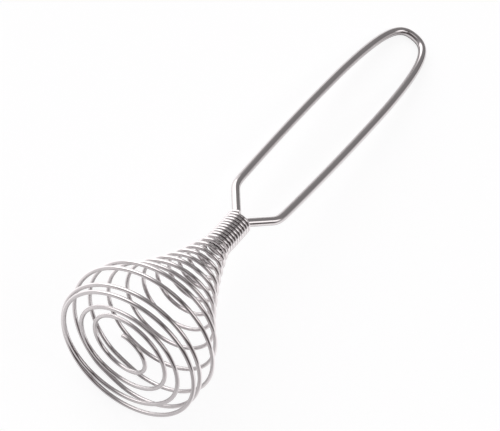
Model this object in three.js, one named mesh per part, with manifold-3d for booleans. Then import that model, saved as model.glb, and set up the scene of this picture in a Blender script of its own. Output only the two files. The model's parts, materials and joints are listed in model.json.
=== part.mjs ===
// Spiral whisk: a handle loop of thick wire, and one coil of thinner wire that binds the two ends of the
// handle, flares into a sprung cone and closes underneath in a flat spiral.
// Millimetres, +Z up. The whisk lies on its side on a worktop, with its head towards -X.
import * as THREE from 'three';
import { mergeVertices } from 'three/addons/utils/BufferGeometryUtils.js';
import Module from 'manifold-3d';

// Wire diameters
const HANDLE_WIRE = 3.25;
const COIL_WIRE = 1.5;

// Clearances
const TOUCH_GAP = 0.3; // between pieces, or ends, that touch
const TURN_GAP = 0.45; // between neighbouring turns of the binding

// Flats where the wire rests on the worktop
const RIM_FLAT = 0.5;
const TIP_FLAT = 0.3;

// Coil, by turns counted from the free end. height runs along the axis, from the rim to the handle.
const RIM_RADIUS = 26.4;
const SHOULDER_BULGE = 0.8; // how far the shoulder stands out past the rim
const FREE_END = { turn: 0, radius: 7.6, height: 1.5 };
const INNER_HALF_TURN = { turn: 0.5, radius: 10.6, height: 1.2 };
const FIRST_TURN = { turn: 1, radius: 14.9, height: 1.9 };
const SECOND_TURN = { turn: 2, radius: 19.4, height: 0.6 };
const RIM = { turn: 3.2, radius: RIM_RADIUS, height: 0 };
const UPPER_RIM = { turn: 4, radius: RIM_RADIUS, height: 3 };
const SHOULDER = { turn: 5, radius: RIM_RADIUS + SHOULDER_BULGE, height: 10.7 };
const CONE_FOOT = { turn: 6, radius: 24.4, height: 17.7 };
const LOWER_CONE = { turn: 7, radius: 20.2, height: 23.7 };
const MIDDLE_CONE = { turn: 8.5, radius: 15, height: 32.7 };
const UPPER_CONE = { turn: 12, radius: 7.9, height: 49.2 };
const CONE_TURNS = 15.6;
const CONE_HEIGHT = 61.2;
const BINDING_LENGTH = 13.7;

const COIL_START_ANGLE = THREE.MathUtils.degToRad(68);
const BASE_TURNS = 6.2; // the base, which meets the worktop, hands over to the cone spring here

// The coil was wound by hand: the eye of its flat spiral sits off the axis and leans, and its shoulder leans
const EYE_SHIFT_Y = 1.6;
const EYE_SHIFT_Z = -0.5;
const EYE_LEAN_Y = THREE.MathUtils.degToRad(6.4);
const EYE_LEAN_Z = THREE.MathUtils.degToRad(-10.8);
const SHOULDER_LEAN = THREE.MathUtils.degToRad(3.2);
const SHOULDER_SPREAD_TURNS = 1.3; // how soon the shoulder's lean fades

// The whole head leans sideways from the handle at the neck
const HEAD_LEAN = THREE.MathUtils.degToRad(2.3);

// Handle loop
const NECK_RUN = 0.6; // straight wire between the binding and the splay
const SPLAY_ANGLE = THREE.MathUtils.degToRad(37.2);
const SPLAY_BEND = 5; // centreline radius of the bend at the neck
const CORNER_BEND = 8; // centreline radius of the bend where the arms begin
const CORNER_HALF_WIDTH = 10.3; // wire centre to axis
const ARM_BOW = 1.3; // how far the arms bow out
const ARM_BOW_PEAK = 62; // from the corner to the widest place
const ARM_LENGTH = 79.3; // from the corner to the start of the rounded tip
const TIP_LENGTH = 42.5;
const TIP_REACH = 38.3; // how far the arms' line carries on into the tip
const TIP_FULLNESS = 6.9; // how square the tip's end is

// Facets
const COIL_SIDES = 6;
const COIL_STEPS = 24; // per turn
const BINDING_STEPS = 14; // per turn
const HANDLE_SIDES = 12;
const ARC_STEP = THREE.MathUtils.degToRad(9);
const ARM_STEPS = 14;
const TIP_STEPS = 14;

// Sizes that follow
const shankOffset = (HANDLE_WIRE + TOUCH_GAP) / 2;
const bindingRadius = shankOffset + HANDLE_WIRE / 2 + TOUCH_GAP + COIL_WIRE / 2;
const bindingTurns = Math.floor(BINDING_LENGTH / (COIL_WIRE + TURN_GAP));
const bindingPitch = BINDING_LENGTH / bindingTurns;
const bindingTop = CONE_HEIGHT + BINDING_LENGTH;
const neck = bindingTop + COIL_WIRE / 2 + NECK_RUN;
const coilStations = [
  FREE_END,
  INNER_HALF_TURN,
  FIRST_TURN,
  SECOND_TURN,
  RIM,
  UPPER_RIM,
  SHOULDER,
  CONE_FOOT,
  LOWER_CONE,
  MIDDLE_CONE,
  UPPER_CONE,
  { turn: CONE_TURNS, radius: bindingRadius, height: CONE_HEIGHT },
];

const wasm = await Module();
wasm.setup();

// Slopes of a smooth curve through values at the given places that never overshoots them.
function smoothSlopes(places, values, endSlope) {
  const steps = places.slice(1).map((place, i) => place - places[i]);
  const rises = steps.map((step, i) => (values[i + 1] - values[i]) / step);
  const inner = rises.slice(1).map((rise, i) => {
    if (rise * rises[i] <= 0) return 0;
    const before = 2 * steps[i + 1] + steps[i];
    const after = steps[i + 1] + 2 * steps[i];
    return (before + after) / (before / rises[i] + after / rise);
  });
  return [rises[0], ...inner, endSlope];
}

// A function that runs smoothly through one value of the stations, such as their radius, and goes on
// straight after the last one.
function through(stations, key, endSlope) {
  const places = stations.map((station) => station.turn);
  const values = stations.map((station) => station[key]);
  const slopes = smoothSlopes(places, values, endSlope);
  return (turn) => {
    if (turn >= places.at(-1)) return values.at(-1) + (turn - places.at(-1)) * endSlope;
    const i = Math.max(places.findIndex((place) => place > turn) - 1, 0);
    const step = places[i + 1] - places[i];
    const t = (turn - places[i]) / step;
    const rise = values[i + 1] - values[i];
    const bend = step * slopes[i] - rise;
    const back = rise - step * slopes[i + 1];
    return values[i] + t * rise + t * (1 - t) * (bend * (1 - t) + back * t);
  };
}

const coilRadius = through(coilStations, 'radius', 0);
const coilHeight = through(coilStations, 'height', bindingPitch);

// The head leans about the point where the handle leaves the binding.
function leaned(point) {
  const fromNeck = point.x - neck;
  const cos = Math.cos(HEAD_LEAN);
  const sin = Math.sin(HEAD_LEAN);
  const x = neck + fromNeck * cos - point.y * sin;
  return new THREE.Vector3(x, fromNeck * sin + point.y * cos, point.z);
}

// Centre of the coil wire after a number of turns.
function coilPoint(turn) {
  const angle = COIL_START_ANGLE + turn * 2 * Math.PI;
  const y = coilRadius(turn) * Math.cos(angle);
  const z = coilRadius(turn) * Math.sin(angle);
  const eye = Math.max(0, 1 - turn / RIM.turn);
  const shoulder = Math.exp(-(((turn - SHOULDER.turn) / SHOULDER_SPREAD_TURNS) ** 2));
  const slopeY = eye * Math.tan(EYE_LEAN_Y) + shoulder * Math.tan(SHOULDER_LEAN);
  const slopeZ = eye * Math.tan(EYE_LEAN_Z);
  const x = coilHeight(turn) + slopeY * y + slopeZ * z;
  return leaned(new THREE.Vector3(x, y + eye * EYE_SHIFT_Y, z + eye * EYE_SHIFT_Z));
}

// Centreline of the coil between two turns, with the direction that each section is turned to.
function coilLine(from, to, stepsPerTurn) {
  const count = Math.ceil((to - from) * stepsPerTurn);
  const turns = Array.from({ length: count + 1 }, (_, i) => from + ((to - from) * i) / count);
  const outward = turns.map((turn) => {
    const angle = COIL_START_ANGLE + turn * 2 * Math.PI;
    return new THREE.Vector3(0, Math.cos(angle), Math.sin(angle));
  });
  return { points: turns.map(coilPoint), outward };
}

// Turns that leave half of the touching gap on each side of a cut in the wire.
function gapTurns(turn) {
  const little = 0.01;
  const turnLength = coilPoint(turn + little).distanceTo(coilPoint(turn)) / little;
  return TOUCH_GAP / 2 / turnLength;
}

// A closed solid swept along a centreline, with flat ends. The section has the area of the round wire.
function sweptWire({ points, outward }, diameter, sides) {
  const radius = (diameter / 2) * Math.sqrt((2 * Math.PI) / (sides * Math.sin((2 * Math.PI) / sides)));
  const last = points.length - 1;
  const position = [];
  points.forEach((point, i) => {
    const along = points[Math.min(i + 1, last)].clone().sub(points[Math.max(i - 1, 0)]).normalize();
    const across = outward[i].clone().addScaledVector(along, -outward[i].dot(along)).normalize();
    const third = along.clone().cross(across);
    for (let side = 0; side < sides; side += 1) {
      const angle = ((side + 0.5) / sides) * 2 * Math.PI;
      const corner = point.clone().addScaledVector(across, radius * Math.cos(angle));
      position.push(...corner.addScaledVector(third, radius * Math.sin(angle)).toArray());
    }
  });
  const faces = [];
  for (let ring = 0; ring < last; ring += 1) {
    for (let side = 0; side < sides; side += 1) {
      const a = ring * sides + side;
      const b = ring * sides + ((side + 1) % sides);
      faces.push(a, b, b + sides, a, b + sides, a + sides);
    }
  }
  for (let side = 1; side < sides - 1; side += 1) {
    const end = last * sides;
    faces.push(0, side + 1, side, end, end + side, end + side + 1);
  }
  const geometry = new THREE.BufferGeometry();
  geometry.setAttribute('position', new THREE.Float32BufferAttribute(position, 3));
  geometry.setIndex(faces);
  return geometry;
}

// Points of a circular bend between two straight runs that meet at a corner, in the loop's plane.
function bend(before, corner, after, radius) {
  const inward = corner.clone().sub(before).normalize();
  const onward = after.clone().sub(corner).normalize();
  const turn = Math.atan2(inward.cross(onward), inward.dot(onward));
  const start = corner.clone().addScaledVector(inward, -radius * Math.tan(Math.abs(turn) / 2));
  const centre = new THREE.Vector2(-inward.y, inward.x).multiplyScalar(Math.sign(turn) * radius).add(start);
  const count = Math.ceil(Math.abs(turn) / ARC_STEP);
  return Array.from({ length: count + 1 }, (_, i) => start.clone().rotateAround(centre, (turn * i) / count));
}

// One half of the handle's centreline, from its end inside the binding to the middle of the tip.
function handleHalf(side) {
  const shank = leaned(new THREE.Vector3(CONE_HEIGHT, side * shankOffset, 0));
  const shankEnd = new THREE.Vector2(shank.x, side * shank.y);
  const splayRun = (CORNER_HALF_WIDTH - shankOffset) / Math.tan(SPLAY_ANGLE);
  const splay = new THREE.Vector2(neck, shankOffset);
  const corner = new THREE.Vector2(neck + splayRun, CORNER_HALF_WIDTH);
  const armEnd = corner.x + ARM_LENGTH;
  const armWidth = (x) => {
    const t = (x - corner.x) / ARM_BOW_PEAK;
    return CORNER_HALF_WIDTH + ARM_BOW * t * (2 - t);
  };
  const cornerBend = bend(splay, corner, new THREE.Vector2(armEnd, CORNER_HALF_WIDTH), CORNER_BEND);
  const armStart = cornerBend.at(-1).x;
  const arm = Array.from({ length: ARM_STEPS }, (_, i) => {
    const x = armStart + ((armEnd - armStart) * (i + 1)) / ARM_STEPS;
    return new THREE.Vector2(x, armWidth(x));
  });
  const tipStart = new THREE.Vector2(armEnd, armWidth(armEnd));
  const tipReach = armEnd + TIP_REACH;
  const tipEnd = new THREE.Vector2(armEnd + TIP_LENGTH, 0);
  const tip = new THREE.CubicBezierCurve(
    tipStart,
    new THREE.Vector2(tipReach, armWidth(tipReach)),
    new THREE.Vector2(tipEnd.x, TIP_FULLNESS),
    tipEnd,
  ).getPoints(TIP_STEPS);
  const splayBend = bend(shankEnd, splay, corner, SPLAY_BEND);
  const half = [shankEnd, ...splayBend, ...cornerBend, ...arm, ...tip.slice(1)];
  return half.map((point) => new THREE.Vector3(point.x, side * point.y, 0));
}

function handleLine() {
  const points = [...handleHalf(1), ...handleHalf(-1).reverse().slice(1)];
  return { points, outward: points.map(() => new THREE.Vector3(0, 0, 1)) };
}

// Least gap between turns of one wire, measured between points that lie over half a turn apart.
function leastGap(from, to) {
  const stepsPerTurn = 48;
  const { points } = coilLine(from, to, stepsPerTurn);
  let least = Infinity;
  points.forEach((point, i) => {
    for (let j = i + stepsPerTurn / 2; j < points.length; j += 1) {
      least = Math.min(least, point.distanceTo(points[j]));
    }
  });
  return least - COIL_WIRE;
}

// Lowest point of a geometry once the whisk is tilted about Y.
function lowest(geometry, tilt) {
  const position = geometry.getAttribute('position');
  let low = Infinity;
  for (let i = 0; i < position.count; i += 1) {
    low = Math.min(low, position.getZ(i) * Math.cos(tilt) - position.getX(i) * Math.sin(tilt));
  }
  return low;
}

// The tilt at which the head and the tip of the handle rest on one level, each on its flat.
function restingTilt(base, handle) {
  const halvings = 40;
  let low = 0;
  let high = Math.PI / 4;
  for (let i = 0; i < halvings; i += 1) {
    const tilt = (low + high) / 2;
    const tipIsHigh = lowest(handle, tilt) + TIP_FLAT > lowest(base, tilt) + RIM_FLAT;
    low = tipIsHigh ? tilt : low;
    high = tipIsHigh ? high : tilt;
  }
  return (low + high) / 2;
}

function toSolid(geometry) {
  const samePoint = 1e-4;
  const bare = geometry.clone();
  bare.deleteAttribute('normal');
  bare.deleteAttribute('uv');
  const merged = mergeVertices(bare, samePoint);
  return new wasm.Manifold(
    new wasm.Mesh({
      numProp: 3,
      vertProperties: merged.getAttribute('position').array,
      triVerts: new Uint32Array(merged.index.array),
    }),
  );
}

function toGeometry(solid) {
  const { vertProperties, triVerts } = solid.getMesh();
  const geometry = new THREE.BufferGeometry();
  geometry.setAttribute('position', new THREE.Float32BufferAttribute(vertProperties, 3));
  geometry.setIndex(Array.from(triVerts));
  return geometry;
}

// Cuts away what would sink into the worktop, which lies level under the tilted whisk.
function flattened(geometry, worktop) {
  return toGeometry(toSolid(geometry).subtract(worktop));
}

function steelMesh(name, geometry, color, roughness) {
  geometry.computeVertexNormals();
  const mesh = new THREE.Mesh(geometry, new THREE.MeshStandardMaterial({ color, roughness, metalness: 1 }));
  mesh.name = name;
  return mesh;
}

const bindingEnd = CONE_TURNS + bindingTurns;
const baseCut = gapTurns(BASE_TURNS);
const bindingCut = gapTurns(CONE_TURNS);
const handle = sweptWire(handleLine(), HANDLE_WIRE, HANDLE_SIDES);
const binding = sweptWire(
  coilLine(CONE_TURNS + bindingCut, bindingEnd, BINDING_STEPS),
  COIL_WIRE,
  COIL_SIDES,
);
const cone = sweptWire(
  coilLine(BASE_TURNS + baseCut, CONE_TURNS - bindingCut, COIL_STEPS),
  COIL_WIRE,
  COIL_SIDES,
);
const base = sweptWire(coilLine(0, BASE_TURNS - baseCut, COIL_STEPS), COIL_WIRE, COIL_SIDES);

console.log(`least gap between turns: ${leastGap(0, bindingEnd).toFixed(2)} mm`);

const tilt = restingTilt(base, handle);
const worktopLevel = lowest(base, tilt) + RIM_FLAT;
const worktopSize = 4 * (neck + ARM_LENGTH + TIP_LENGTH);
const worktop = toSolid(
  new THREE.BoxGeometry(worktopSize, worktopSize, worktopSize)
    .translate(0, 0, worktopLevel - worktopSize / 2)
    .rotateY(-tilt),
);

const whisk = new THREE.Group();
whisk.add(
  steelMesh('handle_loop', flattened(handle, worktop), 0xb9b4b2, 0.18),
  steelMesh('neck_binding', binding, 0xc4c0be, 0.2),
  steelMesh('cone_spring', cone, 0xc4c0be, 0.2),
  steelMesh('base_spiral', flattened(base, worktop), 0xc4c0be, 0.2),
);
whisk.rotation.y = tilt;

const part = new THREE.Group();
part.add(whisk);
part.updateMatrixWorld(true);
const box = new THREE.Box3().setFromObject(part, true);
const middle = box.getCenter(new THREE.Vector3());
whisk.position.set(-middle.x, -middle.y, -worktopLevel);

export default part;
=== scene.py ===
"""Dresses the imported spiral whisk: its two steel wires, a pale worktop, studio light and the camera.

The whisk is described in its own frame, in millimetres: x runs along the axis from the rim of the head to
the handle, y across the handle loop and z out of the loop's plane. The row frame, the studio and all
meshes are in metres.
"""

from __future__ import annotations

import json
import logging
import math
from dataclasses import dataclass
from enum import Enum
from typing import Any, Optional, Union

import bpy
import numpy as np
from mathutils import Matrix, Vector

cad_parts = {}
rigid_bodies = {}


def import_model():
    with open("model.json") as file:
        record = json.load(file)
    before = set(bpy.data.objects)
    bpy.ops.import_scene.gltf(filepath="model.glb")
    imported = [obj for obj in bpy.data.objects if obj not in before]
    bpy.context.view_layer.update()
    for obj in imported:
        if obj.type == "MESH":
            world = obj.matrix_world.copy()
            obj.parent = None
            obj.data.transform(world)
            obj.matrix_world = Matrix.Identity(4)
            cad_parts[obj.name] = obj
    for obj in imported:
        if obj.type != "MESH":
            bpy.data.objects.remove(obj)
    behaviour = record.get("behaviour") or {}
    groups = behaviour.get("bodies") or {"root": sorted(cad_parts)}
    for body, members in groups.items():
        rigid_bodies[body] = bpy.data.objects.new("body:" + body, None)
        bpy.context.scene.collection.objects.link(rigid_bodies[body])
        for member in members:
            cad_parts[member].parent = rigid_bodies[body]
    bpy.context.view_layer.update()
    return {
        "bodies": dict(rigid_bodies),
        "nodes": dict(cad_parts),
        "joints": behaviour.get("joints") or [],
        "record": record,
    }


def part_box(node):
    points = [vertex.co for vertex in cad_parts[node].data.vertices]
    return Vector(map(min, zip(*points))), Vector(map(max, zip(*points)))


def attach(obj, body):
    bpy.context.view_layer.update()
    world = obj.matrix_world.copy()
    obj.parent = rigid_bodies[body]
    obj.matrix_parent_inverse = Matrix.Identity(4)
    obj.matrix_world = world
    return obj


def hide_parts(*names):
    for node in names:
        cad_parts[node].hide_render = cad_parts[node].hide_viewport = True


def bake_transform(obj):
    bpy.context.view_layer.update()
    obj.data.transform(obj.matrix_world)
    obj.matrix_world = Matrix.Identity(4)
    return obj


LOG = logging.getLogger("spiral_whisk")
METRES = 0.001
WIRE_RUN = "wire_run"
# A Mix node repeats its socket names for each type of data, so its colour sockets go by number.
MIX_FIRST = 6
MIX_SECOND = 7
MIX_RESULT = 2

Triple = tuple[float, float, float]
Colour = tuple[float, float, float]
Range = tuple[float, float]
Length = Union[float, np.ndarray]
Tone = Union[Colour, bpy.types.NodeSocket]
Number = Union[float, "Value"]
SocketKey = Union[str, int]


class Body(Enum):
    """The rigid bodies that the pieces ride on."""

    HANDLE = "handle"
    HEAD = "head"


class Slot(Enum):
    """The record's material slots."""

    HANDLE = "handle_steel"
    COIL = "coil_steel"


class Side(Enum):
    """The two arms of the handle loop, by the sign of y."""

    LEFT = 1
    RIGHT = -1


class Value:
    """A number socket in a node tree. Python's operators add the Math nodes that they stand for."""

    def __init__(self, kit: NodeKit, socket: bpy.types.NodeSocket) -> None:
        self.kit = kit
        self.socket = socket

    def _math(self, operation: str, first: Number, second: Number) -> Value:
        """Adds one Math node for two operands."""
        return self.kit.value("ShaderNodeMath", {"operation": operation}, {0: first, 1: second})

    def __add__(self, other: Number) -> Value:
        """Gives the sum."""
        return self._math("ADD", self, other)

    __radd__ = __add__

    def __sub__(self, other: Number) -> Value:
        """Gives the difference."""
        return self._math("SUBTRACT", self, other)

    def __rsub__(self, other: Number) -> Value:
        """Gives the difference with the operands in the other order."""
        return self._math("SUBTRACT", other, self)

    def __mul__(self, other: Number) -> Value:
        """Gives the product."""
        return self._math("MULTIPLY", self, other)

    __rmul__ = __mul__

    def rising(self, low: float, high: float) -> Value:
        """Turns the number into a soft step.

        Args:
            low: Where the step leaves 0.
            high: Where the step reaches 1.

        Returns:
            A number from 0 to 1.
        """
        settings = {"interpolation_type": "SMOOTHSTEP"}
        inputs = {"Value": self, "From Min": low, "From Max": high}
        return self.kit.value("ShaderNodeMapRange", settings, inputs)


class NodeKit:
    """Adds nodes to one node tree."""

    def __init__(self, tree: bpy.types.NodeTree) -> None:
        """Takes the node tree to fill, and empties it."""
        self.tree = tree
        tree.nodes.clear()

    def node(
        self,
        kind: str,
        settings: Optional[dict[str, Any]] = None,
        inputs: Optional[dict[SocketKey, Any]] = None,
    ) -> bpy.types.Node:
        """Adds one node.

        Args:
            kind: The node's type.
            settings: Its own settings, which are set first.
            inputs: The values or links of its sockets, by name or number.

        Returns:
            The new node.
        """
        node = self.tree.nodes.new(kind)
        for name, setting in (settings or {}).items():
            setattr(node, name, setting)
        for key, given in (inputs or {}).items():
            source = given.socket if isinstance(given, Value) else given
            if isinstance(source, bpy.types.NodeSocket):
                self.tree.links.new(source, node.inputs[key])
            else:
                node.inputs[key].default_value = source
        return node

    def value(
        self,
        kind: str,
        settings: Optional[dict[str, Any]] = None,
        inputs: Optional[dict[SocketKey, Any]] = None,
        output: SocketKey = 0,
    ) -> Value:
        """Adds one node for the number that one of its outputs gives."""
        return Value(self, self.node(kind, settings, inputs).outputs[output])

    def mixed(self, share: Value, first: Tone, second: Tone) -> bpy.types.NodeSocket:
        """Mixes two colours.

        Args:
            share: How much of the second colour shows, from 0 to 1.
            first: The colour at 0, three numbers or a socket.
            second: The colour at 1, three numbers or a socket.

        Returns:
            The mixed colour.
        """
        tones = [(*tone, 1.0) if isinstance(tone, tuple) else tone for tone in (first, second)]
        inputs = {"Factor": share, MIX_FIRST: tones[0], MIX_SECOND: tones[1]}
        return self.node("ShaderNodeMix", {"data_type": "RGBA"}, inputs).outputs[MIX_RESULT]

    def stretched(self, vector: bpy.types.NodeSocket, scale: Triple) -> bpy.types.NodeSocket:
        """Multiplies a vector part by part."""
        settings = {"operation": "MULTIPLY"}
        return self.node("ShaderNodeVectorMath", settings, {0: vector, 1: scale}).outputs[0]

    def noise(self, vector: bpy.types.NodeSocket, detail: float) -> Value:
        """Adds noise about 0.5, with cells of the vector's own scale."""
        return self.value("ShaderNodeTexNoise", {}, {"Vector": vector, "Scale": 1.0, "Detail": detail})


@dataclass(frozen=True)
class DrawnSteel:
    """Bright stainless wire that was drawn through a die, which leaves fine lines along it.

    Handling dulls it in clouds, and painted shade darkens the crevices between touching turns, where
    ambient occlusion finds close wire. Lines and clouds are in noise cells per millimetre along the wire
    and per radian round it. Depth and reach are in metres.
    """

    slot: Slot
    bright: Colour
    dull: Colour
    roughness: float
    rubbed: float
    line_depth: float
    edge: Colour = (0.77, 0.77, 0.77)
    lines_along: float = 0.015
    lines_round: float = 5.0
    lines_detail: float = 3.0
    lines_range: Range = (0.35, 0.75)
    cloud_along: float = 0.09
    cloud_round: float = 1.0
    cloud_detail: float = 2.0
    cloud_range: Range = (0.42, 0.7)
    cloud_share: float = 0.6
    # Painted shade: the colour that the crevices between touching turns darken to.
    painted_crevice_shade: Colour = (0.16, 0.14, 0.142)
    crevice_reach: float = 0.0016
    crevice_range: Range = (0.38, 0.82)
    crevice_samples: int = 8

    def material(self) -> bpy.types.Material:
        """Builds the finish.

        Returns:
            A material whose lines follow the wire.
        """
        material = bpy.data.materials.new(self.slot.value)
        material.use_nodes = True
        kit = NodeKit(material.node_tree)
        run = kit.node("ShaderNodeAttribute", {"attribute_name": WIRE_RUN}).outputs["Vector"]
        line_cells = (self.lines_along, self.lines_round, self.lines_round)
        cloud_cells = (self.cloud_along, self.cloud_round, self.cloud_round)
        lines = kit.noise(kit.stretched(run, line_cells), self.lines_detail)
        cloud = kit.noise(kit.stretched(run, cloud_cells), self.cloud_detail)
        handled = cloud.rising(*self.cloud_range)
        drawn = lines.rising(*self.lines_range)
        dulled = self.cloud_share * handled + (1 - self.cloud_share) * drawn
        roughness = self.roughness + self.rubbed * dulled
        # Painted shade: ambient occlusion from the wire itself darkens the colour in the crevices between
        # touching turns.
        near = {"only_local": True, "samples": self.crevice_samples}
        unshaded = kit.value("ShaderNodeAmbientOcclusion", near, {"Distance": self.crevice_reach}, "AO")
        polished = kit.mixed(dulled, self.bright, self.dull)
        colour = kit.mixed(unshaded.rising(*self.crevice_range), self.painted_crevice_shade, polished)
        grooves = {"Strength": 1.0, "Distance": self.line_depth, "Height": lines}
        bump = kit.node("ShaderNodeBump", {}, grooves)
        steel = kit.node(
            "ShaderNodeBsdfPrincipled",
            {},
            {
                "Base Color": colour,
                "Metallic": 1.0,
                "Specular Tint": (*self.edge, 1.0),
                "Roughness": roughness,
                "Normal": bump.outputs["Normal"],
            },
        )
        kit.node("ShaderNodeOutputMaterial", {}, {"Surface": steel.outputs[0]})
        return material


HANDLE_STEEL = DrawnSteel(
    slot=Slot.HANDLE,
    bright=(0.72, 0.686, 0.69),
    dull=(0.65, 0.621, 0.625),
    roughness=0.1,
    rubbed=0.08,
    line_depth=0.00001,
)
COIL_STEEL = DrawnSteel(
    slot=Slot.COIL,
    bright=(0.79, 0.757, 0.762),
    dull=(0.7, 0.671, 0.675),
    roughness=0.03,
    rubbed=0.03,
    line_depth=0.000005,
    edge=(1.0, 1.0, 1.0),
)


@dataclass(frozen=True)
class RoundWire:
    """Round wire of one diameter, in millimetres, with cut ends whose edges are rubbed round."""

    diameter: float
    sides: int
    rubbed_edge: float = 0.25
    edge_steps: int = 3

    @property
    def radius(self) -> float:
        """Half of the diameter."""
        return self.diameter / 2

    def _across(self, along: np.ndarray) -> np.ndarray:
        """Carries a direction across the wire along it, without a twist.

        Args:
            along: The wire's direction at each point.

        Returns:
            A direction square to the wire at each point.
        """
        across = np.empty_like(along)
        across[0] = np.cross(along[0], np.eye(3)[np.argmin(np.abs(along[0]))])
        across[0] /= np.linalg.norm(across[0])
        for i in range(1, len(along)):
            carried = across[i - 1] - along[i] * (across[i - 1] @ along[i])
            across[i] = carried / np.linalg.norm(carried)
        return across

    def _rings(self, line: np.ndarray, along: np.ndarray) -> tuple[np.ndarray, np.ndarray, np.ndarray]:
        """Places the rings of the wire, with the rounded edges of its two cut ends.

        Args:
            line: The centreline, with its ends on the cut faces.
            along: The wire's direction at each point.

        Returns:
            The rings' centres, their radii and the point of the centreline that each one belongs to.
        """
        edge = self.rubbed_edge * self.radius
        turn = np.linspace(math.pi / 2, 0, self.edge_steps + 1)
        depth = edge * (1 - np.sin(turn))
        radii = self.radius - edge * (1 - np.cos(turn))
        start = line[0] + depth[:, None] * along[0]
        end = line[-1] - depth[::-1, None] * along[-1]
        middle = np.arange(1, len(line) - 1)
        centres = np.concatenate([start, line[middle], end])
        widths = np.concatenate([radii, np.full(len(middle), self.radius), radii[::-1]])
        owners = np.concatenate([np.zeros(len(turn), int), middle, np.full(len(turn), len(line) - 1)])
        return centres, widths, owners

    def _faces(self, count: int) -> list[list[int]]:
        """Joins the rings with faces.

        Args:
            count: The number of rings.

        Returns:
            The corners of each face. The two cut faces come last.
        """
        ring = np.arange(count - 1)[:, None] * self.sides
        side = np.arange(self.sides)[None]
        here = ring + side
        beside = ring + (side + 1) % self.sides
        walls = np.stack([here, beside, beside + self.sides, here + self.sides], 2)
        first = list(range(self.sides))[::-1]
        last = [(count - 1) * self.sides + i for i in range(self.sides)]
        return [*walls.reshape(-1, 4).tolist(), first, last]

    def _keep_run(self, mesh: bpy.types.Mesh, centres: np.ndarray, angle: np.ndarray) -> None:
        """Keeps each point's run along and round the wire, which the finish reads.

        Args:
            mesh: The wire's mesh.
            centres: The rings' centres.
            angle: Where the points stand round each ring.
        """
        step = np.linalg.norm(np.diff(centres, axis=0), axis=1)
        run = np.concatenate([[0.0], np.cumsum(step)])
        kept = np.empty((len(centres), self.sides, 3), np.float32)
        kept[..., 0] = run[:, None]
        kept[..., 1] = np.cos(angle)
        kept[..., 2] = np.sin(angle)
        attribute = mesh.attributes.new(WIRE_RUN, "FLOAT_VECTOR", "POINT")
        attribute.data.foreach_set("vector", kept.ravel())

    def piece(self, name: str, line: np.ndarray) -> bpy.types.Object:
        """Sweeps the wire along a centreline.

        Args:
            name: The piece's name.
            line: Points of the centreline in the row frame, in millimetres.

        Returns:
            The piece, smooth but for its cut faces.
        """
        along = np.gradient(line, axis=0)
        along /= np.linalg.norm(along, axis=1, keepdims=True)
        across = self._across(along)
        third = np.cross(along, across)
        centres, widths, owners = self._rings(line, along)
        angle = np.arange(self.sides) * 2 * math.pi / self.sides
        spokes = (
            across[owners][:, None] * np.cos(angle)[None, :, None]
            + third[owners][:, None] * np.sin(angle)[None, :, None]
        )
        points = (centres[:, None] + spokes * widths[:, None, None]) * METRES
        mesh = bpy.data.meshes.new(name)
        mesh.from_pydata(points.reshape(-1, 3).tolist(), [], self._faces(len(centres)))
        smooth = np.ones(len(mesh.polygons), bool)
        smooth[-2:] = False
        mesh.polygons.foreach_set("use_smooth", smooth)
        self._keep_run(mesh, centres, angle)
        mesh.update()
        piece = bpy.data.objects.new(name, mesh)
        bpy.context.scene.collection.objects.link(piece)
        return piece


@dataclass(frozen=True)
class SmoothCurve:
    """A curve through values at given places. It never overshoots them, and goes on straight after them."""

    places: np.ndarray
    values: np.ndarray
    end_slope: float

    def slopes(self) -> np.ndarray:
        """Gives the curve's slope at each place.

        Returns:
            The slopes, which are 0 where the values turn back or stand still.
        """
        steps = np.diff(self.places)
        rises = np.diff(self.values) / steps
        slopes = np.zeros(len(self.places))
        slopes[0] = rises[0]
        slopes[-1] = self.end_slope
        for i in range(1, len(self.places) - 1):
            if rises[i] * rises[i - 1] > 0:
                before = 2 * steps[i] + steps[i - 1]
                after = steps[i] + 2 * steps[i - 1]
                slopes[i] = (before + after) / (before / rises[i - 1] + after / rises[i])
        return slopes

    def at(self, places: np.ndarray) -> np.ndarray:
        """Reads the curve.

        Args:
            places: Where it is read.

        Returns:
            Its values there.
        """
        slopes = self.slopes()
        i = np.clip(np.searchsorted(self.places, places, side="right") - 1, 0, len(self.places) - 2)
        step = self.places[i + 1] - self.places[i]
        t = (places - self.places[i]) / step
        rise = self.values[i + 1] - self.values[i]
        bend = step * slopes[i] - rise
        back = rise - step * slopes[i + 1]
        within = self.values[i] + t * rise + t * (1 - t) * (bend * (1 - t) + back * t)
        beyond = self.values[-1] + (places - self.places[-1]) * self.end_slope
        return np.where(places >= self.places[-1], beyond, within)


@dataclass(frozen=True)
class Neck:
    """Where the coil binds the two ends of the handle wire. The head leans from the handle here."""

    handle_wire: float = 3.25
    coil_wire: float = 1.5
    shank_gap: float = 0.05
    binding_slack: float = 0.375
    cone_height: float = 61.2
    binding_length: float = 13.7
    bare_run: float = 0.6
    head_lean: float = math.radians(2.3)

    @property
    def shank_offset(self) -> float:
        """From the axis to the centre of each end of the handle wire."""
        return (self.handle_wire + self.shank_gap) / 2

    @property
    def binding_radius(self) -> float:
        """From the axis to the centre of the coil wire in the binding."""
        return self.shank_offset + (self.handle_wire + self.coil_wire) / 2 + self.binding_slack

    @property
    def place(self) -> float:
        """Where the handle wire turns outward past the binding, along the axis."""
        return self.cone_height + self.binding_length + self.coil_wire / 2 + self.bare_run

    def leaned(self, points: np.ndarray) -> np.ndarray:
        """Leans points of the head about the neck.

        Args:
            points: Points on an upright head.

        Returns:
            The same points on the leaning head.
        """
        cos, sin = math.cos(self.head_lean), math.sin(self.head_lean)
        from_neck = points[:, 0] - self.place
        x = self.place + from_neck * cos - points[:, 1] * sin
        return np.stack([x, from_neck * sin + points[:, 1] * cos, points[:, 2]], 1)


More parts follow.
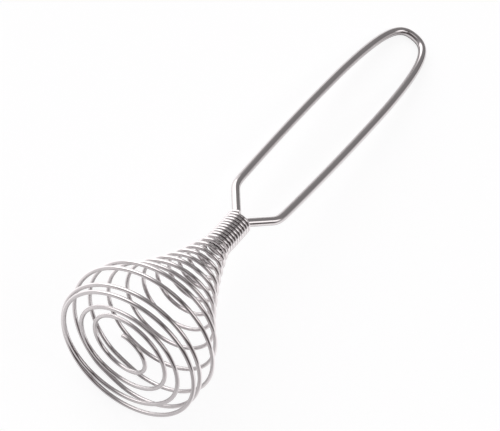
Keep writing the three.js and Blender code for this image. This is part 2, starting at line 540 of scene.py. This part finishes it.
@dataclass(frozen=True)
class HandleLoop:
    """The thick wire: a closed loop whose two ends run side by side into the binding."""

    neck: Neck
    finish: DrawnSteel = HANDLE_STEEL
    splay_angle: float = math.radians(37.2)
    splay_bend: float = 5.0
    corner_bend: float = 8.0
    corner_half_width: float = 10.3
    arm_bow: float = 1.3
    arm_bow_peak: float = 62.0
    arm_length: float = 79.3
    tip_length: float = 42.5
    tip_reach: float = 38.3
    tip_fullness: float = 6.9
    sides: int = 40
    step: float = 0.7
    fine: int = 120

    @property
    def wire(self) -> RoundWire:
        """The wire that the loop is bent from."""
        return RoundWire(self.neck.handle_wire, self.sides)

    def _bend(self, before: np.ndarray, corner: np.ndarray, after: np.ndarray, radius: float) -> np.ndarray:
        """Rounds the corner between two straight runs.

        Args:
            before: A point on the first run.
            corner: Where the runs meet.
            after: A point on the second run.
            radius: The bend's radius on the centreline.

        Returns:
            Points of the arc.
        """
        inward = (corner - before) / np.linalg.norm(corner - before)
        onward = (after - corner) / np.linalg.norm(after - corner)
        turn = math.atan2(inward[0] * onward[1] - inward[1] * onward[0], inward @ onward)
        start = corner - inward * radius * math.tan(abs(turn) / 2)
        centre = start + np.array([-inward[1], inward[0]]) * math.copysign(radius, turn)
        swung = np.linspace(0, turn, self.fine)
        arm = start - centre
        x = centre[0] + arm[0] * np.cos(swung) - arm[1] * np.sin(swung)
        y = centre[1] + arm[0] * np.sin(swung) + arm[1] * np.cos(swung)
        return np.stack([x, y], 1)

    def _arm_width(self, from_corner: Length) -> Length:
        """Gives the distance from the axis to an arm, so far along it from its corner."""
        t = from_corner / self.arm_bow_peak
        return self.corner_half_width + self.arm_bow * t * (2 - t)

    def _tip(self, corner: np.ndarray, arm_end: np.ndarray) -> np.ndarray:
        """Rounds the loop from the end of an arm to the middle of the tip.

        Args:
            corner: Where the arm starts.
            arm_end: Where it ends.

        Returns:
            Points of the curve after the arm's end.
        """
        reach = arm_end[0] + self.tip_reach
        end = arm_end[0] + self.tip_length
        drawn_on = (reach, self._arm_width(reach - corner[0]))
        controls = np.array([arm_end, drawn_on, (end, self.tip_fullness), (end, 0.0)])
        t = np.linspace(0, 1, self.fine)[1:]
        shares = np.stack([(1 - t) ** 3, 3 * t * (1 - t) ** 2, 3 * t**2 * (1 - t), t**3], 1)
        return shares @ controls

    def _half(self, side: Side) -> np.ndarray:
        """Draws one half of the centreline, from its end inside the binding to the middle of the tip.

        Args:
            side: The arm.

        Returns:
            Points in the whisk's own frame.
        """
        neck = self.neck
        upright = np.array([[neck.cone_height, side.value * neck.shank_offset, 0.0]])
        shank = neck.leaned(upright)[0, :2] * (1, side.value)
        splay = np.array([neck.place, neck.shank_offset])
        splay_run = (self.corner_half_width - neck.shank_offset) / math.tan(self.splay_angle)
        corner = np.array([neck.place + splay_run, self.corner_half_width])
        straight_end = corner + (self.arm_length, 0.0)
        splay_bend = self._bend(shank, splay, corner, self.splay_bend)
        corner_bend = self._bend(splay, corner, straight_end, self.corner_bend)
        arm_x = np.linspace(corner_bend[-1, 0], straight_end[0], self.fine)[1:]
        arm = np.stack([arm_x, self._arm_width(arm_x - corner[0])], 1)
        half = np.concatenate([shank[None], splay_bend, corner_bend, arm, self._tip(corner, arm[-1])])
        return np.stack([half[:, 0], side.value * half[:, 1], np.zeros(len(half))], 1)

    def line(self) -> np.ndarray:
        """Gives the centreline at even steps.

        Returns:
            Points in the whisk's own frame.
        """
        drawn = np.concatenate([self._half(Side.LEFT), self._half(Side.RIGHT)[-2::-1]])
        run = np.concatenate([[0.0], np.cumsum(np.linalg.norm(np.diff(drawn, axis=0), axis=1))])
        even = np.linspace(0, run[-1], round(run[-1] / self.step) + 1)
        return np.stack([np.interp(even, run, drawn[:, axis]) for axis in range(3)], 1)

    def build(self, placement: Placement) -> bpy.types.Object:
        """Makes the loop and dresses it.

        Args:
            placement: Where the whisk lies.

        Returns:
            The piece, riding on the handle.
        """
        piece = self.wire.piece("handle_wire", placement.rested(self.line(), self.wire))
        piece.data.materials.append(self.finish.material())
        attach(piece, Body.HANDLE.value)
        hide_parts("handle_loop")
        return piece


@dataclass(frozen=True)
class Station:
    """Where the coil wire is after a number of turns from its free end."""

    turn: float
    radius: float
    height: float


@dataclass(frozen=True)
class CoilWire:
    """The thin wire: a flat spiral, a rim, a sprung cone and the binding, wound as one length.

    It is baked in place as one piece on no rigid body; base_top marks the top of the head along the axis.
    """

    neck: Neck
    finish: DrawnSteel = COIL_STEEL
    start_angle: float = math.radians(68)
    flat_spiral: tuple[Station, ...] = (
        Station(turn=0.0, radius=7.6, height=1.5),
        Station(turn=0.5, radius=10.6, height=1.2),
        Station(turn=1.0, radius=14.9, height=1.9),
        Station(turn=2.0, radius=19.4, height=0.6),
    )
    rim_turn: float = 3.2
    rim_end_turn: float = 4.0
    rim_end_height: float = 3.0
    rim_radius: float = 26.4
    shoulder_turn: float = 5.0
    shoulder_height: float = 10.7
    shoulder_bulge: float = 0.8
    cone: tuple[Station, ...] = (
        Station(turn=6.0, radius=24.4, height=17.7),
        Station(turn=7.0, radius=20.2, height=23.7),
        Station(turn=8.5, radius=15.0, height=32.7),
        Station(turn=12.0, radius=7.9, height=49.2),
    )
    cone_turns: float = 15.6
    binding_turns: float = 9.4
    turn_gap: float = 0.02
    eye_shift_y: float = 1.6
    eye_shift_z: float = -0.5
    eye_lean_y: float = math.radians(6.4)
    eye_lean_z: float = math.radians(-10.8)
    shoulder_lean: float = math.radians(3.2)
    shoulder_spread_turns: float = 1.3
    waist_turn: float = 14.5
    waist_sway: float = 0.35
    waist_spread_turns: float = 5.0
    base_top: float = 20.5
    sides: int = 20
    cone_steps: int = 96
    binding_steps: int = 64

    @property
    def wire(self) -> RoundWire:
        """The wire that the coil is wound from."""
        return RoundWire(self.neck.coil_wire, self.sides)

    def stations(self) -> list[Station]:
        """Gives the places that the coil runs through.

        Returns:
            The stations from the free end to the binding.
        """
        shoulder_radius = self.rim_radius + self.shoulder_bulge
        return [
            *self.flat_spiral,
            Station(self.rim_turn, self.rim_radius, 0.0),
            Station(self.rim_end_turn, self.rim_radius, self.rim_end_height),
            Station(self.shoulder_turn, shoulder_radius, self.shoulder_height),
            *self.cone,
            Station(self.cone_turns, self.neck.binding_radius, self.neck.cone_height),
        ]

    def line(self) -> np.ndarray:
        """Winds the centreline from the free end to the top of the binding.

        Returns:
            Points in the whisk's own frame.
        """
        stations = self.stations()
        places = np.array([station.turn for station in stations])
        pitch = self.neck.coil_wire + self.turn_gap
        radius = SmoothCurve(places, np.array([station.radius for station in stations]), 0.0)
        height = SmoothCurve(places, np.array([station.height for station in stations]), pitch)
        cone = np.linspace(0, self.cone_turns, round(self.cone_turns * self.cone_steps))
        top = self.cone_turns + self.binding_turns
        binding = np.linspace(self.cone_turns, top, round(self.binding_turns * self.binding_steps))[1:]
        turns = np.concatenate([cone, binding])
        angle = self.start_angle + turns * 2 * math.pi
        y = radius.at(turns) * np.cos(angle)
        z = radius.at(turns) * np.sin(angle)
        eye = np.maximum(0, 1 - turns / self.rim_turn)
        shoulder = np.exp(-(((turns - self.shoulder_turn) / self.shoulder_spread_turns) ** 2))
        waist = np.exp(-(((turns - self.waist_turn) / self.waist_spread_turns) ** 2))
        slope_y = eye * math.tan(self.eye_lean_y) + shoulder * math.tan(self.shoulder_lean)
        slope_z = eye * math.tan(self.eye_lean_z)
        x = height.at(turns) + slope_y * y + slope_z * z
        line = self.neck.leaned(np.stack([x, y + eye * self.eye_shift_y, z + eye * self.eye_shift_z], 1))
        line[:, 1] += waist * self.waist_sway
        return line

    def build(self, placement: Placement) -> bpy.types.Object:
        """Makes the coil and dresses it.

        Args:
            placement: Where the whisk lies.

        Returns:
            The piece, baked in place.
        """
        piece = self.wire.piece("coil_wire", placement.rested(self.line(), self.wire))
        piece.data.materials.append(self.finish.material())
        axis = np.array([[self.neck.cone_height, 0.0, 0.0], [self.base_top, 0.0, 0.0]])
        start, end = placement.placed(self.neck.leaned(axis)) * METRES
        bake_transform(piece)
        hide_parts("neck_binding", "cone_spring", "base_spiral")
        return piece


@dataclass(frozen=True)
class Placement:
    """Where the whisk lies on the worktop: it tilts from its head down to the tip of its handle."""

    tilt: float
    offset: np.ndarray
    give: float = 0.4

    @classmethod
    def from_frame(cls, frame: dict[str, Any], handle: HandleLoop) -> Placement:
        """Reads the tilt from the joint's axis, and the place from the solid handle's box.

        Args:
            frame: The loaded frame.
            handle: The handle that has to lie where the solid one is.

        Returns:
            The placement.
        """
        axis = frame["joints"][0]["axis"]
        lying = cls(math.atan2(-axis[2], axis[0]), np.zeros(3))
        line = lying.placed(handle.line())
        low, high = (np.array(corner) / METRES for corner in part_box("handle_loop"))
        radius = handle.wire.radius
        x = high[0] - line[:, 0].max() - radius
        y = (low[1] + high[1] - line[:, 1].min() - line[:, 1].max()) / 2
        z = high[2] - line[:, 2].max() - radius * math.cos(lying.tilt)
        return cls(lying.tilt, np.array([x, y, z]))

    def placed(self, points: np.ndarray) -> np.ndarray:
        """Takes points from the whisk's own frame to the row frame.

        Args:
            points: Points in millimetres.

        Returns:
            The same points in the row frame, in millimetres.
        """
        cos, sin = math.cos(self.tilt), math.sin(self.tilt)
        x = points[:, 0] * cos + points[:, 2] * sin
        z = points[:, 2] * cos - points[:, 0] * sin
        return np.stack([x, points[:, 1], z], 1) + self.offset

    def rested(self, points: np.ndarray, wire: RoundWire) -> np.ndarray:
        """Lays a wire on the worktop: where it would sink in, it gives a little and rests.

        Args:
            points: The wire's centreline in the whisk's own frame.
            wire: The wire.

        Returns:
            The centreline in the row frame, in millimetres.
        """
        line = self.placed(points)
        clear = line[:, 2] - wire.radius
        line[:, 2] = wire.radius + (clear + np.sqrt(clear**2 + self.give**2)) / 2
        return line


@dataclass(frozen=True)
class PhotoView:
    """The camera, in degrees, millimetres and pixels of the photograph. It clips in metres."""

    azimuth: float = -82.94
    elevation: float = 56.82
    roll: float = -34.25
    distance: float = 645.45
    aim: Triple = (-24.58, 0.85, 20.0)
    focal_pixels: float = 1800.0
    image_width: float = 500.0
    sensor_width: float = 36.0
    clip: Range = (0.01, 20.0)

    def build(self) -> bpy.types.Object:
        """Makes the camera.

        Returns:
            The scene's camera.
        """
        azimuth, elevation = math.radians(self.azimuth), math.radians(self.elevation)
        roll = math.radians(self.roll)
        level = math.cos(elevation)
        back = Vector((math.sin(azimuth) * level, -math.cos(azimuth) * level, math.sin(elevation)))
        upright_right = Vector((0, 0, 1)).cross(back).normalized()
        upright_up = back.cross(upright_right)
        up = upright_up * math.cos(roll) + upright_right * math.sin(roll)
        right = up.cross(back)
        data = bpy.data.cameras.new("photo_view")
        data.sensor_width = self.sensor_width
        data.lens = self.focal_pixels / self.image_width * self.sensor_width
        data.clip_start, data.clip_end = self.clip
        camera = bpy.data.objects.new("photo_view", data)
        turned = Matrix((right, up, back)).transposed()
        place = (Vector(self.aim) + back * self.distance) * METRES
        camera.matrix_world = Matrix.Translation(place) @ turned.to_4x4()
        bpy.context.scene.collection.objects.link(camera)
        bpy.context.scene.camera = camera
        return camera


@dataclass(frozen=True)
class SoftPanel:
    """One soft round panel of light in the room, far from the whisk, in degrees.

    It is whole as far from its middle as full says, and has faded away at gone.
    """

    name: str
    azimuth: float
    elevation: float
    full: float
    gone: float
    level: float

    def share(self, kit: NodeKit, towards: bpy.types.NodeSocket) -> Value:
        """Tells how much of the panel is seen.

        Args:
            kit: The room's node tree.
            towards: The direction that is looked in.

        Returns:
            1 on the panel, 0 well beside it.
        """
        azimuth, elevation = math.radians(self.azimuth), math.radians(self.elevation)
        level = math.cos(elevation)
        middle = (math.cos(azimuth) * level, math.sin(azimuth) * level, math.sin(elevation))
        settings = {"operation": "DOT_PRODUCT"}
        facing = kit.value("ShaderNodeVectorMath", settings, {0: towards, 1: middle}, "Value")
        return facing.rising(math.cos(math.radians(self.gone)), math.cos(math.radians(self.full)))


@dataclass(frozen=True)
class Studio:
    """The pale worktop and the room that the steel reflects, in metres of the row frame.

    The worktop's glow and the light that falls on it come out white together.
    """

    floor_size: float = 6.0
    floor_colour: Colour = (0.86, 0.86, 0.88)
    floor_glow: float = 0.72
    floor_white: Colour = (1.19, 1.19, 1.19)
    pool_bright: Colour = (1.8, 1.78, 1.78)
    pool_dim: Colour = (0.46, 0.445, 0.45)
    pool_shade: Colour = (0.0, 0.0, 0.0)
    key_side: Range = (-0.06, 0.06)
    past_neck: Range = (0.0, 0.08)
    behind_rim: Range = (-0.145, -0.08)
    key_share: float = 0.3
    shade_reach: float = 0.06
    shade_samples: int = 8
    backdrop: Colour = (1.0, 1.0, 1.0)
    room_colour: Colour = (0.1, 0.085, 0.086)
    panel_colour: Colour = (1.0, 0.978, 0.98)
    panels: tuple[SoftPanel, ...] = (
        SoftPanel("key_spill", azimuth=85.0, elevation=12.0, full=50.0, gone=88.0, level=0.36),
        SoftPanel("key", azimuth=83.0, elevation=27.0, full=22.0, gone=40.0, level=1.95),
        SoftPanel("side_wall", azimuth=-60.0, elevation=0.0, full=3.0, gone=42.0, level=0.58),
        SoftPanel("back_wall", azimuth=0.0, elevation=40.0, full=15.0, gone=45.0, level=0.265),
        SoftPanel("near_wall", azimuth=180.0, elevation=8.0, full=8.0, gone=34.0, level=0.15),
        SoftPanel("ceiling", azimuth=180.0, elevation=79.0, full=4.0, gone=16.0, level=0.75),
        SoftPanel("fill_spill", azimuth=-105.0, elevation=55.0, full=10.0, gone=20.0, level=0.9),
        SoftPanel("fill", azimuth=-68.0, elevation=47.0, full=9.0, gone=21.0, level=1.55),
    )

    @staticmethod
    def _seen(kit: NodeKit) -> Value:
        """Tells rays that see the worktop as a picture does from those that carry light.

        Args:
            kit: The worktop's node tree.

        Returns:
            1 for camera, glossy and transmitted rays, and otherwise 0.
        """
        path = kit.node("ShaderNodeLightPath").outputs
        kinds = ("Is Camera Ray", "Is Glossy Ray", "Is Transmission Ray")
        camera, glossy, transmitted = (Value(kit, path[kind]) for kind in kinds)
        return camera + glossy + transmitted

    def _painted_pool(self, kit: NodeKit) -> bpy.types.NodeSocket:
        """Paints a pool of light on the worktop: most beside the head on the key's side, least before it.

        Args:
            kit: The worktop's node tree.

        Returns:
            The worktop's colour as the steel shows it, with a painted shadow of the whisk from ambient
            occlusion.
        """
        place = kit.node("ShaderNodeNewGeometry").outputs["Position"]
        split = kit.node("ShaderNodeSeparateXYZ", {}, {0: place}).outputs
        along, across = Value(kit, split["X"]), Value(kit, split["Y"])
        # Painted pool of light: the glow that the steel sees is brighter beside the head on the key's side
        # and behind the rim.
        near_key = across.rising(*self.key_side) * (1 - along.rising(*self.past_neck))
        lit = self.key_share * near_key + (1 - self.key_share) * along.rising(*self.behind_rim)
        reach = {"Distance": self.shade_reach}
        # Painted shadow: ambient occlusion from the whisk darkens the glow under and beside it.
        unshaded = kit.value("ShaderNodeAmbientOcclusion", {"samples": self.shade_samples}, reach, "AO")
        colour = kit.mixed(lit, self.pool_dim, self.pool_bright)
        return kit.mixed(unshaded * unshaded, self.pool_shade, colour)

    def _pale(self) -> bpy.types.Material:
        """Builds the worktop's finish.

        Returns:
            A material that shows the camera white and the whisk's shadow, and the steel a painted pool of
            light and shadow.
        """
        material = bpy.data.materials.new("worktop")
        material.use_nodes = True
        kit = NodeKit(material.node_tree)
        plain = kit.node("ShaderNodeBsdfDiffuse", {}, {"Color": (*self.floor_colour, 1.0)}).outputs[0]
        direct = Value(kit, kit.node("ShaderNodeLightPath").outputs["Is Camera Ray"])
        shown = kit.mixed(direct, self._painted_pool(kit), self.floor_white)
        glow = kit.node("ShaderNodeEmission", {}, {"Color": shown, "Strength": 1.0}).outputs[0]
        share = self._seen(kit) * self.floor_glow
        surface = kit.node("ShaderNodeMixShader", {}, {0: share, 1: plain, 2: glow}).outputs[0]
        kit.node("ShaderNodeOutputMaterial", {}, {"Surface": surface})
        return material

    def worktop(self) -> bpy.types.Object:
        """Lays the pale worktop.

        Returns:
            The stage piece.
        """
        half = self.floor_size / 2
        outline = [(-half, -half, 0), (half, -half, 0), (half, half, 0), (-half, half, 0)]
        mesh = bpy.data.meshes.new("worktop")
        mesh.from_pydata(outline, [], [(0, 1, 2, 3)])
        mesh.materials.append(self._pale())
        floor = bpy.data.objects.new("worktop", mesh)
        bpy.context.scene.collection.objects.link(floor)
        return floor

    def room(self) -> bpy.types.World:
        """Makes the room: dim walls, soft panels, and white where the camera looks at it.

        Returns:
            The scene's world.
        """
        world = bpy.data.worlds.new("studio_room")
        world.use_nodes = True
        kit = NodeKit(world.node_tree)
        towards = kit.node("ShaderNodeTexCoord").outputs["Generated"]
        colour: Tone = self.room_colour
        for panel in self.panels:
            lit = tuple(part * panel.level for part in self.panel_colour)
            colour = kit.mixed(panel.share(kit, towards), colour, lit)
        room = kit.node("ShaderNodeBackground", {}, {"Color": colour, "Strength": 1.0}).outputs[0]
        backdrop = {"Color": (*self.backdrop, 1.0), "Strength": 1.0}
        white = kit.node("ShaderNodeBackground", {}, backdrop).outputs[0]
        camera = kit.node("ShaderNodeLightPath").outputs["Is Camera Ray"]
        surface = kit.node("ShaderNodeMixShader", {}, {0: camera, 1: room, 2: white}).outputs[0]
        kit.node("ShaderNodeOutputWorld", {}, {"Surface": surface})
        bpy.context.scene.world = world
        return world

    def build(self) -> None:
        """Sets up the worktop, the room with its panels, and the plain view transform."""
        self.worktop()
        self.room()
        bpy.context.scene.view_settings.view_transform = "Standard"
        LOG.info("studio: worktop and panels %s", ", ".join(panel.name for panel in self.panels))


def main() -> None:
    """Builds the whisk's pieces around the frame, and the studio and camera."""
    logging.basicConfig(level=logging.INFO, format="%(name)s: %(message)s")
    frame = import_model()
    PhotoView().build()
    Studio().build()
    neck = Neck()
    handle = HandleLoop(neck)
    coil = CoilWire(neck)
    placement = Placement.from_frame(frame, handle)
    for assembly in (handle, coil):
        piece = assembly.build(placement)
        LOG.info("%s: %d faces in %s", piece.name, len(piece.data.polygons), assembly.finish.slot.value)


if __name__ == "__main__":
    main()
